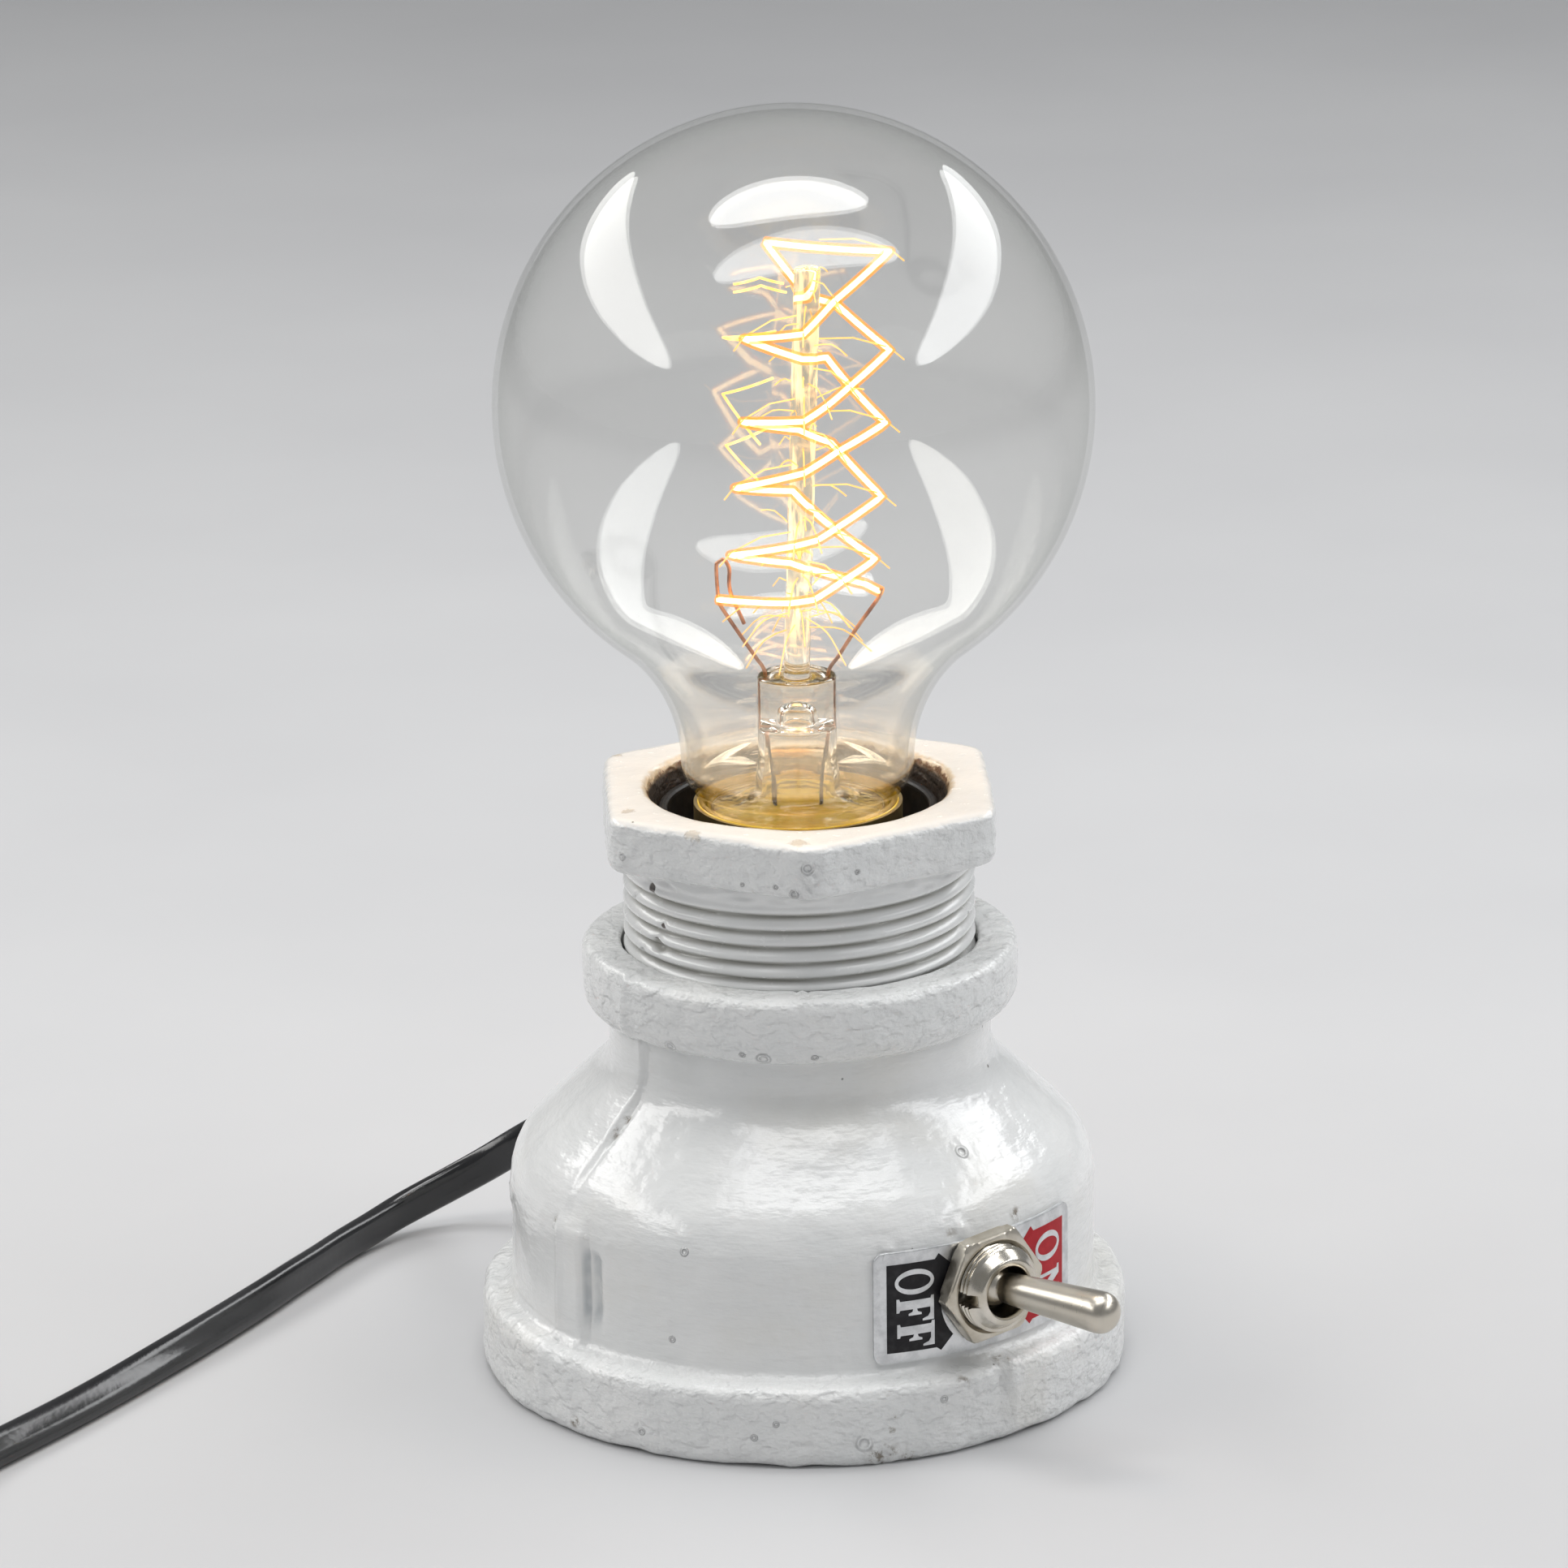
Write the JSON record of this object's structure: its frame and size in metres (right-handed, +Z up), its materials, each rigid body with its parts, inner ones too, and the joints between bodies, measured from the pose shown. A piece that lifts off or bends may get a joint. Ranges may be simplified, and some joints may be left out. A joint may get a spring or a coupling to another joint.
{
  "type": "industrial pipe table lamp",
  "caption": "Table lamp built from a painted pipe bell reducer and hex bushing, with a clear globe lamp, a front toggle switch with a legend plate, and a flat cord with a plug.",
  "frame": {"origin": "centre of the reducer's lower face, on the table, on the axis of the lower pipe thread", "axes": "+Z up along the lamp's axis, -Y out of the front where the toggle switch is, +Y where the cord leaves; the casting's parting line is at +X and -X"},
  "size_m": [0.231, 0.1862, 0.1738],
  "materials": {
    "white_paint": "gloss paint over a cast, slightly pitted surface",
    "phenolic": "moulded, glossy",
    "porcelain": "moulded insulator, satin",
    "brass": "stamped, slightly dull",
    "adhesive": "set silicone bead",
    "clear_glass": "clear, polished",
    "cap_metal": "rolled, satin",
    "cap_glass": "dark vitrite",
    "solder": "dull solder",
    "cement": "amber basing cement",
    "stem_glass": "clear, fire-polished",
    "lead_wire": "drawn wire",
    "filament": "glowing",
    "nickel": "nickel plated, polished",
    "contact_copper": "stamped copper",
    "plunger": "moulded",
    "steel": "plain",
    "legend_aluminium": "printed black and red, satin",
    "black_pvc": "smooth, glossy"
  },
  "bodies": {
    "root": {"reducer": "white_paint", "hex_bushing": "white_paint", "holder_skirt": "phenolic", "holder_cap": "phenolic", "holder_core": "porcelain", "screw_shell": "brass", "holder_contact": "brass", "holder_screws": "brass", "holder_adhesive": "adhesive", "switch_frame": "nickel", "switch_case": "phenolic", "switch_terminals": "brass", "hex_nut": "nickel", "back_nut": "nickel", "lock_washer": "steel", "legend_plate": "legend_aluminium", "cord_relief": "black_pvc", "lead_neutral": "black_pvc", "lead_live": "black_pvc", "lead_switched": "black_pvc", "cord": "black_pvc", "cord_coil": "black_pvc", "cord_tail": "black_pvc", "plug_body": "black_pvc", "plug_blades": "nickel"},
    "lamp_tip": {"cap_contact": "solder", "cap_insulator": "cap_glass"},
    "lamp": {"glass_globe": "clear_glass", "lamp_cap": "cap_metal", "cap_cement": "cement", "glass_stem": "stem_glass", "stem_wires": "lead_wire", "filament_supports": "lead_wire", "filament": "filament"},
    "bat": {"toggle_bat": "nickel", "switch_plunger": "plunger", "plunger_spring": "steel"},
    "rocker": {"rocker_contact": "contact_copper"}
  },
  "joints": [
    {"name": "lamp_lift", "type": "slide", "parent": "root", "child": "lamp_tip", "axis": [0, 0, 1], "range_m": [0, 0.01815]},
    {"name": "lamp_unscrew", "type": "hinge", "parent": "lamp_tip", "child": "lamp", "pos_m": [0, 0, 0.0526], "axis": [0, 0, 1], "range_deg": [0, 1800]},
    {"name": "switch_throw", "type": "hinge", "parent": "root", "child": "bat", "pos_m": [0, -0.041, 0.0218], "axis": [0, 0, 1], "range_deg": [-31, 0]},
    {"name": "rocker_tilt", "type": "hinge", "parent": "root", "child": "rocker", "pos_m": [0, -0.02281, 0.0218], "axis": [0, 0, 1], "range_deg": [0, 20]}
  ],
  "couplings": [
    {"joint": "lamp_lift", "follows": "lamp_unscrew", "m_per_rad": 0.00057757},
    {"joint": "rocker_tilt", "follows": "switch_throw", "ratio": -0.64516}
  ]
}
